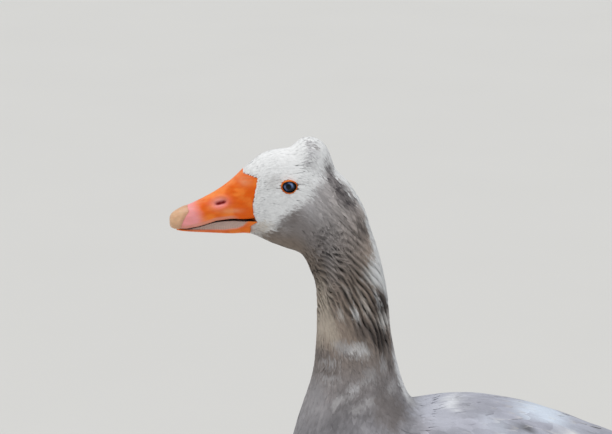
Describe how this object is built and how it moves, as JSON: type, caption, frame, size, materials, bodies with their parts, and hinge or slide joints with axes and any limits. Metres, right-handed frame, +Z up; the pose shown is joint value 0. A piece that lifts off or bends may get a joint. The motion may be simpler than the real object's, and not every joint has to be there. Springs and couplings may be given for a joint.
{
  "type": "domestic goose",
  "caption": "Standing pied domestic goose with an upright neck, furrowed neck feathers, a small round crest, folded wings and webbed feet.",
  "frame": {"origin": "on the floor under the middle of the goose's length and width", "axes": "+Z up, the bill points along -Y and the bird's left side is +X"},
  "size_m": [0.2254, 0.59, 0.5854],
  "materials": {
    "head_feathers": "short dense feathers, white, with a grey-brown cheek",
    "neck_feathers": "feathers parted into long furrowed locks, grey-brown with white and dark patches",
    "body_feathers": "overlapping soft body feathers, cool grey with pale edges, white below",
    "wing_feathers": "firm wing and tail feathers, grey with pale edges",
    "bill": "satin orange horn, pinker towards the nail and the cutting edge",
    "nail": "pale tan horn, smooth and a little glossy",
    "eye": "wet and glossy, slate blue iris round a dark pupil",
    "leg": "dull orange scaled skin",
    "claw": "grey-brown horn, slightly glossy"
  },
  "bodies": {
    "root": {"head": "head_feathers", "crest": "head_feathers", "neck_upper": "neck_feathers", "neck_middle": "neck_feathers", "neck_lower": "neck_feathers", "trunk": "body_feathers", "rump": "body_feathers", "eye_left": "eye", "eye_right": "eye", "bill_upper": "bill", "bill_lower": "bill", "bill_nail": "nail", "thigh_left": "body_feathers", "shank_left": "leg", "foot_left": "leg", "claw_inner_left": "claw", "claw_middle_left": "claw", "claw_outer_left": "claw", "claw_hind_left": "claw", "wing_left": "wing_feathers", "wing_tip_left": "wing_feathers", "thigh_right": "body_feathers", "shank_right": "leg", "foot_right": "leg", "claw_inner_right": "claw", "claw_middle_right": "claw", "claw_outer_right": "claw", "claw_hind_right": "claw", "wing_right": "wing_feathers", "wing_tip_right": "wing_feathers", "tail": "wing_feathers"}
  },
  "joints": []
}
